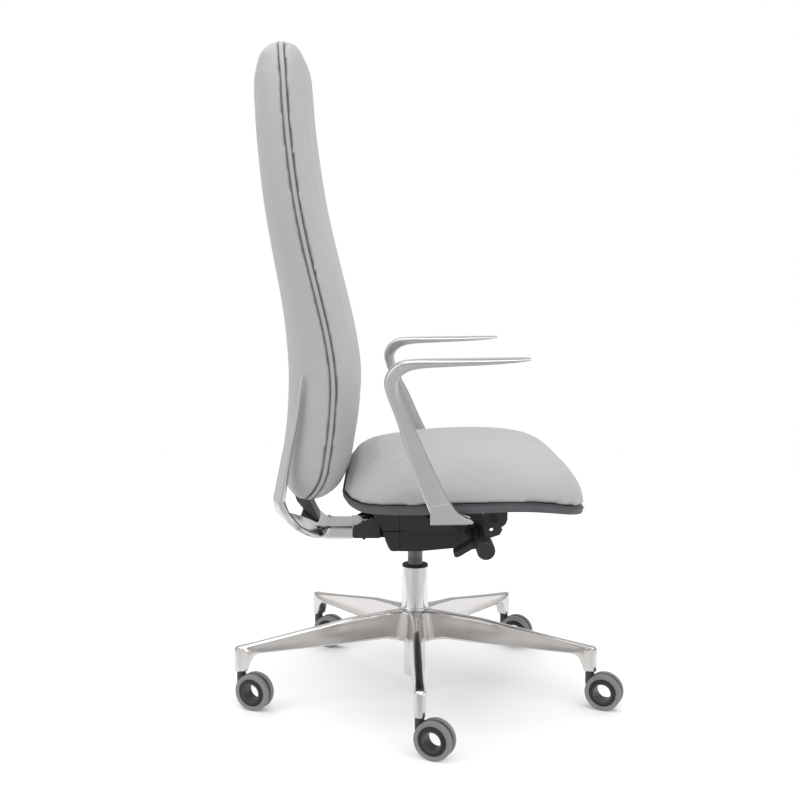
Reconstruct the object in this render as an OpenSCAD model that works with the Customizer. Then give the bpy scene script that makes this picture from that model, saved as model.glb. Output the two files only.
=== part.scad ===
// High-backed swivel office chair. Millimetres, +Z up, the seat faces -Y,
// the origin is on the column's axis at floor level.

/* [Base] */
// Radius of the circle through the five castor stems
stem_circle_r = 330; // [310:5:350]
// Height of the underside of the castor sockets
socket_z = 68; // [67.5:0.5:70]
// Height of the top of the hub
hub_top_z = 153; // [148:1:156]
// Radius of the hub
hub_r = 31; // [30:1:34]

/* [Castors] */
// Radius of the wheels
wheel_r = 33; // [31:0.5:33]
// Distance from the swivel axis to the wheel axle
trail = 27; // [25:0.5:29]
// Overall width of a twin-wheel castor
castor_w = 28; // [26:0.5:32]
// Direction the castors stand in, from the -Y axis
castor_yaw = 25; // [0:5:45]

/* [Gas lift] */
// Outer radius of the column tube
column_r = 25; // [24.5:0.5:25.5]
// Height of the top of the column tube
column_top_z = 236; // [230:1:240]
// Outer radius of the gas cylinder
cylinder_r = 14; // [14:0.5:15]

/* [Mechanism] */
// Half of the mechanism's width over its covers
mech_half_w = 85; // [84:0.5:88]
// Height of the mechanism's flat underside
mech_floor_z = 281; // [279:1:283]
// Length of the tension knob's grip
knob_len = 60; // [40:5:70]

/* [Seat] */
// Half of the cushion's width
seat_half_w = 242; // [230:2:250]
// Height of the seam between cushion and pan
seam_z = 395; // [394:1:397]
// Depth of the pan below the seam
pan_depth = 38.8; // [38.5:0.1:39]

/* [Back] */
// Half of the back's greatest width
back_half_w = 228; // [215:1:235]
// Width of the gusset between the back's two seams
gusset_w = 8; // [7:0.5:11]

/* [Arms] */
// Distance from the middle of the chair to the middle of an arm
arm_x = 294; // [286:1:305]

/* [Hidden] */
$fn = 64;
gap = 0.3;
run_fit = 0.05;
LEGS = 5;
LEG_STEP = 360 / LEGS;
wheel_z = wheel_r;
web_half = 4;
disc_in = web_half + gap;
disc_out = castor_w / 2 - gap;
hub_tube_r = 18.5;
hub_bore_r = 15.5;
rim_r = 24.5;
stem_r = 5.5;
neck_r = 3;
rod_r = 5;
shroud_half = mech_half_w - 3.5;
frame_half = shroud_half - 3.3;
tilt_y = 38;
tilt_z = 306;
tilt_shaft_r = 8;
pivot_y = -139;
pivot_z = 341;
lever_y = -96;
lever_z = 316;
knob_y = -111.5;
knob_z = 321;
plate_z = seam_z - pan_depth - 0.4;
bolt_y = 95;

// Seat: [y, height over the seam at the middle, half width as a share, seam above seam_z]
SEAT = [[-298, 3, 0.46, -11.5], [-296, 13, 0.50, -17], [-289, 34, 0.64, -17.5],
        [-277, 43, 0.82, -11.5], [-256, 60, 0.93, -4.5], [-225, 73, 0.975, 1.5],
        [-190, 76.5, 0.995, 5.2], [-150, 79, 1, 5.8], [-90, 81, 1, 3.2], [-20, 79.3, 1, 1.2],
        [40, 73, 0.995, -0.2], [75, 69, 0.97, -0.7], [95, 62, 0.94, 0], [108, 53, 0.90, 2.5],
        [118, 36, 0.86, 6.5], [124, 20, 0.80, 9.5], [129, 6, 0.74, 12], [131, 1, 0.68, 13]];

// Back: [z, front y, seam y, rear y, half width as a share]
BACK = [[1176, 233, 236, 243, 0.20], [1170, 212, 231, 262, 0.46], [1159, 204, 229, 271, 0.66],
        [1140, 197, 226, 279, 0.78], [1105, 194, 222, 283, 0.87], [1050, 190, 218, 281, 0.92],
        [980, 181, 211, 275.5, 0.95], [900, 168, 200, 266.5, 0.975], [820, 150, 184, 253.5, 0.99],
        [740, 130, 164.5, 239, 1], [670, 114, 148.5, 230, 1], [600, 104, 139.5, 226, 1],
        [530, 106.5, 142.5, 229, 1], [470, 115, 150, 236, 0.985], [436, 121, 157, 237, 0.955],
        [412, 132, 169, 232, 0.89], [396, 148, 181, 225.5, 0.78], [386, 166, 188, 216, 0.60],
        [383, 178, 191, 206.5, 0.44]];

// Arm, in its own plane: [y, z, thickness in the plane, width across it]
ARM = [[-174, 645.5, 3.5, 40], [-150, 643.5, 7, 50], [-100, 641, 10, 53], [-40, 639, 12, 52],
       [8, 636.5, 15, 47], [34, 629, 21, 38], [48, 610, 22, 28], [45, 587, 19.5, 21.5],
       [33, 557, 20, 18], [18, 522, 26, 17], [2, 480, 31, 17], [-17, 436, 35, 17],
       [-33, 401, 37, 17]];

// Foot of the arm, as [y, z]
ARM_FOOT = [[-14, 406], [-16, 398], [-16, 376.3], [-84, 378], [-85.5, 379], [-85.5, 382],
            [-81, 384.6], [-72, 388], [-60.5, 396], [-48, 411.8]];

// Yoke wall and blade, one side: [x, y, z, half width, half thickness, outward direction]
YOKE = [[45, 116, 307.5, 11.5, 4.5, 1, 0, 0], [45, 140, 307.5, 11.5, 4.5, 1, 0.05, 0],
        [47, 162, 308.5, 12, 4.5, 0.95, 0.3, 0], [62, 178, 315, 15, 5, 0.6, 0.8, 0],
        [92, 191, 326, 17, 5.5, 0.4, 0.9, -0.1], [130, 203, 340, 17.5, 6.5, 0.42, 0.88, -0.2],
        [168, 217, 355, 17, 7.5, 0.5, 0.8, -0.3], [190, 230, 373, 15, 7.5, 0.6, 0.75, -0.2],
        [199, 236, 394, 12, 7, 0.68, 0.72, -0.1], [202, 233, 415, 11, 6.5, 0.72, 0.68, 0],
        [205, 224, 466, 9.5, 5.5, 0.74, 0.66, 0], [208, 214, 512, 8.5, 4.5, 0.76, 0.64, 0],
        [210.5, 204, 562, 6.5, 3.3, 0.78, 0.62, 0], [212, 195, 610, 1.5, 1.5, 0.78, 0.62, 0]];

// ---- smooth lofts ----

// Catmull-Rom point between b and c
function between(a, b, c, d, t) =
    0.5 * (2 * b + (c - a) * t + (2 * a - 5 * b + 4 * c - d) * t * t
           + (3 * b - a - 3 * c + d) * t * t * t);

// A smooth run through the rows, with n steps to a span
function smooth(rows, n) = let (last = len(rows) - 1) concat(
    [for (i = [0:last - 1]) for (k = [0:n - 1])
        between(rows[max(i - 1, 0)], rows[i], rows[i + 1], rows[min(i + 2, last)], k / n)],
    [rows[last]]);

// Signed power, for superellipse sections
function spow(v, p) = sign(v) * pow(abs(v), p);

// Crown of a pad, from 1 in the middle to 0 at its edge
function crown(s, p) = sqrt(max(0, 1 - pow(abs(s), p)));

// A closed solid through rings that all have the same number of points
module loft(rings) {
    n = len(rings[0]);
    m = len(rings);
    polyhedron(
        points = [for (r = rings) each r],
        faces = concat(
            [[for (i = [0:n - 1]) i]],
            [for (j = [0:m - 2]) for (i = [0:n - 1]) each
                let (a = j * n + i, b = j * n + (i + 1) % n)
                [[a, a + n, b], [b, a + n, b + n]]],
            [[for (i = [n - 1:-1:0]) (m - 1) * n + i]]));
}

// A bar whose superellipse section sits square to its path; side is a fixed direction
function bar_ring(c, dir, side, half_a, half_b, power, n) =
    let (v = cross(dir, side))
    [for (i = [0:n - 1]) let (t = 360 * i / n)
        c + side * half_a * spow(cos(t), power) + v * half_b * spow(sin(t), power)];

function unit(v) = v / norm(v);

module both_sides() {
    children();
    mirror([1, 0, 0]) children();
}

// ---- base and column ----

module base_leg() {
    end_r = stem_circle_r + 11;
    intersection() {
        rotate([90, 0, 0]) linear_extrude(40, center = true) polygon([
            [18, hub_top_z], [48, hub_top_z - 1], [127, 146], [264, 123], [end_r - 4, 112],
            [end_r, 107], [end_r + 1, 80], [end_r - 1, socket_z + 3], [end_r - 4, socket_z],
            [stem_circle_r - 8, socket_z], [stem_circle_r - 11, 74], [stem_circle_r - 14, 84],
            [stem_circle_r - 20, 92], [stem_circle_r - 30, 98], [240, 99], [127, 101], [60, 104],
            [18, 98]]);
        linear_extrude(200) polygon([
            [0, 13], [60, 13], [end_r - 20, 10], [end_r - 4, 9], [end_r + 1, 5],
            [end_r + 1, -5], [end_r - 4, -9], [end_r - 20, -10], [60, -13], [0, -13]]);
        // The ridge: a narrow flat top with sloping shoulders
        rotate([90, 0, 90]) linear_extrude(end_r + 10) polygon([
            [-13, 0], [13, 0], [13, 132], [7.5, hub_top_z], [-7.5, hub_top_z], [-13, 132]]);
    }
}

module base_star() {
    color([0.78, 0.77, 0.78]) difference() {
        union() {
            translate([0, 0, 92]) cylinder(h = hub_top_z - 92, r = hub_r);
            for (i = [0:LEGS - 1]) rotate(180 + i * LEG_STEP) {
                base_leg();
                rotate(LEG_STEP / 2) translate([hub_r - 5, 0, 100])
                    cylinder(h = hub_top_z - 104, r = 9);
            }
        }
        translate([0, 0, 80]) cylinder(h = 100, r = column_r + run_fit / 2);
        for (i = [0:LEGS - 1]) rotate(180 + i * LEG_STEP) translate([stem_circle_r, 0, 60])
            cylinder(h = 42, r = stem_r + run_fit / 2);
    }
}

module castor_stems() {
    color([0.6, 0.6, 0.62]) for (i = [0:LEGS - 1])
        rotate(180 + i * LEG_STEP) translate([stem_circle_r, 0, 0]) {
            translate([0, 0, 57]) cylinder(h = 45, r = stem_r);
            translate([0, 0, 45]) cylinder(h = 20, r = neck_r);
        }
}

// Outer tube of the gas lift; its narrower foot shows under the hub
module column_tube() {
    color([0.8, 0.8, 0.82]) rotate_extrude($fn = 96) polygon([
        [5.6, 34], [17, 34], [17, 29], [18, 28], [18.6, 28], [20, 30], [20, 91], [23, 93],
        [column_r, 100], [column_r, hub_top_z + 1], [column_r + 0.8, hub_top_z + 2],
        [column_r + 0.8, hub_top_z + 5], [column_r, hub_top_z + 6],
        [column_r, column_top_z - 1], [column_r - 1, column_top_z],
        [column_r - 2, column_top_z], [column_r - 2, 170], [17, 166], [17, 38], [5.6, 38]]);
}

module guide_bush() {
    bore = cylinder_r + run_fit;
    color([0.07, 0.07, 0.08]) rotate_extrude($fn = 96) polygon([
        [bore, 176], [column_r - 2.02, 176], [column_r - 2.02, column_top_z],
        [column_r - 1.6, column_top_z], [column_r - 1.6, column_top_z + 1.6],
        [column_r - 3, column_top_z + 3], [bore + 3, column_top_z + 3],
        [bore + 1, column_top_z + 1.2], [bore, column_top_z + 1]]);
}

module thrust_bearing() {
    color([0.62, 0.62, 0.64]) {
        difference() {
            translate([0, 0, 38]) cylinder(h = 1.6, r = 13);
            translate([0, 0, 37]) cylinder(h = 4, r = rod_r + 0.6);
        }
        difference() {
            translate([0, 0, 39.8]) cylinder(h = 2.4, r = 12.5);
            translate([0, 0, 39]) cylinder(h = 5, r = rod_r + 0.6);
        }
    }
}

module bearing_washer() {
    color([0.62, 0.62, 0.64]) difference() {
        translate([0, 0, 42.4]) cylinder(h = 1.6, r = 13);
        translate([0, 0, 42]) cylinder(h = 4, r = rod_r);
    }
}

module piston_rod() {
    color([0.75, 0.75, 0.77]) {
        translate([0, 0, 30.5]) cylinder(h = 176, r = rod_r);
        translate([0, 0, 196]) cylinder(h = 12, r = cylinder_r - 2 - run_fit);
    }
}

module retaining_clip() {
    color([0.3, 0.3, 0.32]) difference() {
        translate([0, 0, 32]) cylinder(h = 1.6, r = 9);
        translate([0, 0, 31]) cylinder(h = 4, r = rod_r);
    }
}

module bump_stop() {
    color([0.05, 0.05, 0.05]) difference() {
        translate([0, 0, 44]) cylinder(h = 8, r = 12.5);
        translate([0, 0, 43]) cylinder(h = 12, r = rod_r);
    }
}

module gas_cylinder() {
    color([0.25, 0.25, 0.27]) rotate_extrude($fn = 96) polygon([
        [rod_r + run_fit, 52], [cylinder_r - 1, 52], [cylinder_r, 53], [cylinder_r, 290],
        [cylinder_r - 0.6, 318], [2.6, 318], [2.6, 300], [cylinder_r - 2, 300],
        [cylinder_r - 2, 62], [rod_r + run_fit, 62]]);
}

module valve_pin() {
    color([0.7, 0.7, 0.3]) translate([0, 0, 304]) cylinder(h = 18, r = 2.55);
}

// ---- mechanism ----

// Side plate outline, as [y, z]
FRAME_SIDE = [[60, 316], [56, 300], [50, 285.5], [-6, 285.5], [-69, 291.5], [-110, 302.6],
              [-136, 306], [-150, 311], [-155, 320], [-151, 330], [-148.5, 337], [-148.5, 344],
              [-144, 350], [-134, 350], [-129, 344], [-124, 336], [-60, 334], [0, 322]];

module side_plate(outline, x_in, x_out) {
    translate([x_in, 0, 0]) rotate([90, 0, 90]) linear_extrude(x_out - x_in) polygon(outline);
}

module across(y, z, half, r) {
    translate([-half, y, z]) rotate([0, 90, 0]) cylinder(h = 2 * half, r = r);
}

module mech_housing() {
    color([0.16, 0.16, 0.17]) difference() {
        union() {
            both_sides() side_plate(FRAME_SIDE, frame_half - 8, frame_half);
            translate([-frame_half + 1, -88, 297]) cube([2 * frame_half - 2, 5, 35]);
            side_plate([[48, 286], [-6, 286], [-69, 292], [-100, 300.5], [-100, 304.5],
                        [-69, 296], [-6, 290], [48, 290]], -frame_half + 1, frame_half - 1);
            translate([0, 0, 286]) cylinder(h = 33, r = 24);
            both_sides() translate([20, -3, 288]) cube([51, 6, 22]);
        }
        translate([0, 0, 280]) cylinder(h = 50, r = cylinder_r + run_fit);
        across(tilt_y, tilt_z, 100, tilt_shaft_r + run_fit);
        across(pivot_y, pivot_z, 100, 6 + run_fit);
        across(-135, 320, 100, 3.5);
        across(lever_y, lever_z, 100, 5 + run_fit);
        translate([-100, knob_y, knob_z]) rotate([0, 90, 0]) cylinder(h = 60, r = 6 + run_fit);
    }
}

SHROUD_SIDE = [[48, mech_floor_z + 2], [31, mech_floor_z], [-6, mech_floor_z], [-69, 287],
               [-106, 297], [-118, 304], [-118, 311], [-84, 331], [-60, 331], [31, 318],
               [56, 316], [53, 300]];
SHROUD_INSIDE = [[60, mech_floor_z + 4], [31, mech_floor_z + 3], [-6, mech_floor_z + 3],
                 [-69, 290], [-106, 300], [-130, 306], [-130, 340], [60, 340]];

module mech_shroud() {
    color([0.2, 0.2, 0.215]) difference() {
        union() {
            difference() {
                side_plate(SHROUD_SIDE, -shroud_half, shroud_half);
                side_plate(SHROUD_INSIDE, -frame_half - gap, frame_half + gap);
            }
            both_sides() difference() {
                across(lever_y, lever_z + 1, shroud_half + 2.5, 16);
                across(lever_y, lever_z + 1, frame_half + gap, 17);
                translate([-200, -200, 200]) cube([200, 400, 200]);
            }
        }
        translate([0, 0, 270]) cylinder(h = 30, r = 20);
        across(lever_y, lever_z, 200, 6);
        translate([-200, knob_y, knob_z]) rotate([0, 90, 0]) cylinder(h = 150, r = 10.5);
    }
}

module rear_shrouds() {
    color([0.2, 0.2, 0.215]) both_sides()
        side_plate([[31, mech_floor_z + 3], [34, mech_floor_z + 0.5], [44, mech_floor_z + 0.5],
                    [48, 284], [51, 296], [56, 309], [60, 317], [31, 317]],
                   shroud_half + gap, mech_half_w - 1.3);
}

module tilt_shaft() {
    color([0.6, 0.6, 0.62]) across(tilt_y, tilt_z, frame_half, tilt_shaft_r);
}

module seat_pivot() {
    color([0.2, 0.2, 0.21]) {
        across(pivot_y, pivot_z, mech_half_w - 1, 6);
    }
}

// Two torsion springs on the tilt shaft, drawn turn by turn
module tilt_springs() {
    color([0.35, 0.35, 0.37]) both_sides() for (i = [0:5])
        translate([40 + i * 4.6, tilt_y, tilt_z]) rotate([0, 90, 0])
            rotate_extrude($fn = 48) translate([11.5, 0]) circle(r = 2.1, $fn = 20);
}

module tension_knob() {
    color([0.14, 0.14, 0.15]) translate([-190 - knob_len, knob_y, knob_z]) rotate([0, 90, 0]) {
        rotate_extrude($fn = 72) polygon([
            [0, 0], [12.8, 0], [14.8, 1.2], [15.7, 3.4], [15.7, knob_len - 5],
            [14.5, knob_len - 1], [9.5, knob_len + 2],
            [9.5, knob_len + 105], [6, knob_len + 105], [6, knob_len + 150],
            [0, knob_len + 150]]);
    }
}

// Paddle outline about its own shaft, as [y, z]
PADDLE = [[-5, 3], [-1, 5.5], [4, 5], [16, -3], [30, -10], [34, -14], [34, -19], [30, -21],
          [22, -18], [4, -7], [-2, -6], [-5.5, -2]];

module lever() {
    translate([-187, lever_y, lever_z]) rotate([90, 0, 90]) linear_extrude(37) polygon(PADDLE);
    translate([-186, lever_y, lever_z]) rotate([0, 90, 0]) cylinder(h = 166, r = 5);
}

module height_lever() {
    color([0.14, 0.14, 0.15]) lever();
}

module lock_lever() {
    color([0.14, 0.14, 0.15]) mirror([1, 0, 0]) lever();
}

// ---- back ----

module back_arm() {
    color([0.15, 0.15, 0.16]) difference() {
        union() {
            across(tilt_y, tilt_z, 34, 13.2);
            translate([-34, tilt_y, 296]) cube([68, 36, 24]);
            translate([0, 0, 298]) linear_extrude(20) polygon([
                [-34, 60], [34, 60], [50, 76], [50, 114.6], [-50, 114.6], [-50, 76]]);
            both_sides() side_plate([[114.6, 298], [114.6, 318.8], [100, 326.5], [81, 335],
                                     [72, 335], [66, 318], [66, 298]], 46, 50);
        }
        across(tilt_y, tilt_z, 60, tilt_shaft_r + run_fit);
        for (s = [-1, 1]) translate([s * 22, bolt_y, 290]) cylinder(h = 40, r = 3.05);
    }
}

function yoke_ring(p, q, r) =
    let (dir = unit([r[0] - p[0], r[1] - p[1], r[2] - p[2]]),
         out = [q[5], q[6], q[7]],
         thin = unit(out - dir * (dir * out)))
    bar_ring([q[0], q[1], q[2]], dir, thin, q[4], q[3], 0.6, 16);

module yoke_half() {
    rows = smooth(YOKE, 3);
    last = len(rows) - 1;
    loft([for (i = [0:last]) yoke_ring(rows[max(i - 1, 0)], rows[i], rows[min(i + 1, last)])]);
}

module back_yoke() {
    color([0.8, 0.8, 0.82]) difference() {
        union() {
            both_sides() yoke_half();
            // Shelf between the walls
            intersection() {
                side_plate([[115.2, 319], [115.2, 313], [168, 313], [186, 321], [210, 343],
                            [207, 347], [182, 327], [166, 319]], -120, 120);
                linear_extrude(400) polygon([
                    [-44, 100], [44, 100], [44, 160], [62, 177], [112, 197], [112, 215],
                    [-112, 215], [-112, 197], [-62, 177], [-44, 160]]);
            }
            translate([0, 0, 297]) linear_extrude(20) polygon([
                [-44, 115], [44, 115], [44, 124], [-44, 124]]);
            translate([0, 0, 318.2]) linear_extrude(3.5) polygon([
                [-45, 120], [45, 120], [45, 108], [30, 88], [-30, 88], [-45, 108]]);
        }
        for (s = [-1, 1]) translate([s * 22, bolt_y, 300]) cylinder(h = 40, r = 3.05);
    }
}

module yoke_screws() {
    color([0.3, 0.3, 0.32]) for (s = [-1, 1]) translate([s * 22, bolt_y, 0]) {
        translate([0, 0, 289.5]) cylinder(h = 33, r = 3);
        translate([0, 0, 321.7]) cylinder(h = 3, r = 5.5);
        translate([0, 0, 292.5]) cylinder(h = 5.2, r = 5, $fn = 6);
    }
}

module back_bracket() {
    color([0.33, 0.32, 0.35]) rotate([90, 0, 90]) translate([0, 0, -32]) linear_extrude(64)
        polygon([[177, 325.4], [182, 327.6], [203, 344.6], [218, 363], [227, 391], [222, 389],
                 [214, 382.4], [205, 380.2], [191, 357.6]]);
}

// A back section at one height: from the seam out to face_y and back
function pad_ring(row, face_y, edge_y, p, n) =
    [for (i = [0:n]) let (s = cos(180 * i / n), w = back_half_w * row[4])
        [w * s, edge_y + (face_y - edge_y) * crown(s, p), row[0]]];

module back_front_pad() {
    rows = smooth(BACK, 2);
    color([0.75, 0.745, 0.74])
        loft([for (r = rows) pad_ring(r, r[1], r[2], 5, 18)]);
}

module back_rear_pad() {
    rows = smooth(BACK, 2);
    color([0.75, 0.745, 0.74]) loft([for (k = [len(rows) - 1:-1:0]) let (r = rows[k])
        pad_ring(r, max(r[3], r[2] + gusset_w + 2), r[2] + gusset_w, 5, 18)]);
}

module back_gusset() {
    rows = smooth(BACK, 2);
    inset = 2;
    color([0.7, 0.695, 0.69]) loft([for (k = [len(rows) - 1:-1:0])
        let (r = rows[k], w = back_half_w * r[4] - inset)
        [[w, r[2] + 0.1, r[0]], [w, r[2] + gusset_w - 0.1, r[0]],
         [-w, r[2] + gusset_w - 0.1, r[0]], [-w, r[2] + 0.1, r[0]]]]);
}

// ---- seat and arms ----

module seat_cushion() {
    n = 20;
    rows = smooth(SEAT, 2);
    color([0.75, 0.745, 0.74]) loft([for (k = [len(rows) - 1:-1:0]) let (r = rows[k])
        [for (i = [0:n]) let (s = cos(180 * i / n))
        [seat_half_w * r[2] * s, r[0], seam_z + r[3] + max(r[1], 0.5) * crown(s, 5)]]]);
}

// How far the pan has reached its full depth, from 0 at an end to 1 in the middle
function cupping(t) = pow(max(0, 1 - pow(abs(t), 4)), 0.6);

module seat_pan() {
    n = 20;
    mid_y = -80;
    half_d = 210;
    rows = smooth(SEAT, 2);
    color([0.37, 0.36, 0.385]) loft([for (k = [4:len(rows) - 3])
        let (r = rows[k], inset = 3 + 9 * pow(max(0, -(r[0] + 200) / 90), 3),
             w = seat_half_w * r[2] - inset, top = seam_z + r[3] - 0.25,
             deep = cupping((r[0] - mid_y) / half_d), rim = 2 + 14 * sqrt(deep))
        concat([for (i = [0:n])
        let (s = cos(180 * i / n))
        [w * s, r[0], top - rim - (pan_depth + r[3] - rim) * pow(1 - s * s, 1.5) * deep]],
        [[-w, r[0], top], [w, r[0], top]])]);
}

module seat_carrier() {
    color([0.2, 0.2, 0.21]) difference() {
        union() {
            translate([-mech_half_w + 4, -160, plate_z - 4]) cube([2 * mech_half_w - 8, 236, 4]);
            translate([-145, -80, plate_z - 4]) cube([290, 64, 4]);
            both_sides() side_plate([
                [-120, plate_z], [-120, 337], [-127, 331], [-132, 327], [-154, 327], [-160, 332],
                [-163, 340], [-163, plate_z]], mech_half_w - 3, mech_half_w);
        }
        across(pivot_y, pivot_z, 100, 6 + run_fit);
        for (x = [-128, -104, 104, 128]) translate([x, -50, 340]) cylinder(h = 30, r = 3.05);
    }
}

module carrier_skirts() {
    color([0.2, 0.2, 0.215]) both_sides()
        side_plate([[30.5, plate_z - 4.2], [30.5, 320], [-75, 320], [-75, 330], [-80, 341],
                    [-118, 341.5], [-118, plate_z - 4.2]], shroud_half + gap, mech_half_w - 0.2);
    color([0.2, 0.2, 0.215]) both_sides()
        side_plate([[30.8, plate_z - 4.2], [30.8, 319.5], [60.5, 319.5], [66, 331], [74, 342],
                    [78, 348], [78, plate_z - 4.2]], mech_half_w - 1, mech_half_w + 1);
}

module arm_body() {
    rows = smooth(ARM, 3);
    last = len(rows) - 1;
    difference() {
        union() {
            loft([for (i = [0:last]) let (r = rows[i], a = rows[max(i - 1, 0)],
                                          b = rows[min(i + 1, last)])
                bar_ring([arm_x, r[0], r[1]], unit([0, b[0] - a[0], b[1] - a[1]]), [1, 0, 0],
                         r[3] / 2, r[2] / 2, 0.65, 20)]);
            side_plate(ARM_FOOT, arm_x - 9, arm_x + 9);
            translate([0, -26, 0]) rotate([90, 0, 0]) linear_extrude(59.5) polygon([
                [arm_x - 8, 398], [arm_x - 14, 397], [arm_x - 26, 391], [247, 379], [235, 373.5],
                [200, 364], [160, 353], [146, 351.6], [90, 351.6], [90, 344], [158, 344],
                [200, 355], [235, 365], [arm_x - 20, 376], [arm_x - 8, 380]]);
        }
        for (x = [104, 128]) translate([x, -50, 330]) cylinder(h = 30, r = 3.05);
    }
}

module arm_left() {
    color([0.8, 0.8, 0.82]) arm_body();
}

module arm_right() {
    color([0.8, 0.8, 0.82]) mirror([1, 0, 0]) arm_body();
}

module arm_screws() {
    color([0.3, 0.3, 0.32]) for (x = [-128, -104, 104, 128]) translate([x, -50, 0]) {
        translate([0, 0, 341]) cylinder(h = 14, r = 3);
        translate([0, 0, 341]) cylinder(h = 3, r = 5.5);
    }
}

// ---- castors ----

module at_castor(i) {
    rotate(180 + i * LEG_STEP) translate([stem_circle_r, 0, 0])
        rotate(-180 - i * LEG_STEP - castor_yaw) children();
}

// In a castor's own frame the axle lies along X and the wheels trail towards -Y
module castor_housing(i) {
    color([0.16, 0.16, 0.17]) at_castor(i) difference() {
        union() {
            translate([0, 0, 40]) cylinder(h = socket_z - 40.4, r = 8);
            translate([0, 0, 34]) cylinder(h = 7, r1 = 5, r2 = 8);
            translate([-web_half, -trail, wheel_z]) rotate([0, 90, 0])
                cylinder(h = 2 * web_half, r = wheel_r - 2.5);
            translate([-web_half, -16, 42]) cube([2 * web_half, 16, 22]);
            translate([-castor_w / 2, -trail, wheel_z]) rotate([0, 90, 0])
                cylinder(h = castor_w, r = hub_tube_r);
        }
        for (s = [0, 1]) mirror([s, 0, 0]) translate([web_half, -trail, wheel_z])
            rotate([0, 90, 0]) difference() {
                cylinder(h = 40, r = wheel_r + 0.8);
                translate([0, 0, -1]) cylinder(h = 50, r = hub_tube_r);
            }
        translate([-50, -trail, wheel_z]) rotate([0, 90, 0]) cylinder(h = 100, r = hub_bore_r);
        translate([0, 0, 56.8]) cylinder(h = 40, r = stem_r + run_fit);
        translate([0, 0, 44.8]) cylinder(h = 20, r = neck_r + run_fit);
    }
}

module disc(i, side, r_in, r_out, x_in, x_out, bevel) {
    at_castor(i) mirror([side, 0, 0]) translate([x_in, -trail, wheel_z]) rotate([0, 90, 0])
        rotate_extrude($fn = 96) polygon([
            [r_in, 0], [r_out - bevel / 2, 0], [r_out, bevel / 2],
            [r_out, x_out - x_in - bevel], [r_out - bevel * 0.3, x_out - x_in - bevel * 0.3],
            [r_out - bevel, x_out - x_in], [r_in, x_out - x_in]]);
}

module rim(i, side) {
    color([0.13, 0.13, 0.14])
        disc(i, side, hub_tube_r + run_fit, rim_r, disc_in, disc_out - 0.6, 0.4);
}

module tyre(i, side) {
    color([0.5, 0.51, 0.52]) disc(i, side, rim_r + 0.02, wheel_r, disc_in, disc_out, 2.4);
}

base_star();
castor_stems();
column_tube();
guide_bush();
thrust_bearing();
bearing_washer();
piston_rod();
retaining_clip();
bump_stop();
gas_cylinder();
mech_housing();
mech_shroud();
rear_shrouds();
tilt_shaft();
seat_pivot();
tilt_springs();
valve_pin();
tension_knob();
height_lever();
lock_lever();
back_arm();
back_yoke();
yoke_screws();
back_bracket();
back_front_pad();
back_gusset();
back_rear_pad();
seat_carrier();
carrier_skirts();
seat_pan();
seat_cushion();
arm_right();
arm_left();
arm_screws();
for (i = [0:LEGS - 1]) {
    castor_housing(i);
    rim(i, 0);
    tyre(i, 0);
    rim(i, 1);
    tyre(i, 1);
}
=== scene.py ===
import math
import bpy
import bmesh
from mathutils import Matrix, Vector


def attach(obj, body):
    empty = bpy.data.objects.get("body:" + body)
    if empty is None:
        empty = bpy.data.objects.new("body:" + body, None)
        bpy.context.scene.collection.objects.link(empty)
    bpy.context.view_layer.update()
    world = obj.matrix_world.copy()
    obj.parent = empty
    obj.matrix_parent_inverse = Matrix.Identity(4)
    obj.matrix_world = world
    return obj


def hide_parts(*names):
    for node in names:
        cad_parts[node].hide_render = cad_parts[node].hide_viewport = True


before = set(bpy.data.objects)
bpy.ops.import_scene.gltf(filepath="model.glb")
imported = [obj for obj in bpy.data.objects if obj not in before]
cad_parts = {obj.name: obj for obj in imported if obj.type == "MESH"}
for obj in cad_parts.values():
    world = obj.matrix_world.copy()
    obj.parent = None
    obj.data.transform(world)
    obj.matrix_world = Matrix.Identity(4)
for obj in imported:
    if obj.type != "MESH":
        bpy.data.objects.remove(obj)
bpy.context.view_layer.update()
MM = 0.001
LEGS = 5
STEM_R = 330.0
CASTOR_YAW = 25.0
WHEEL_R = 33.0
TRAIL = 27.0
CLOTH_FRAMES = 20
EYE = (-2.2822, 0.0605, 0.7993)
YAW, PITCH, ROLL = -0.0135, 0.1105, 0.0047
LENS = 56.15


# ---------------------------------------------------------------- materials

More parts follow.
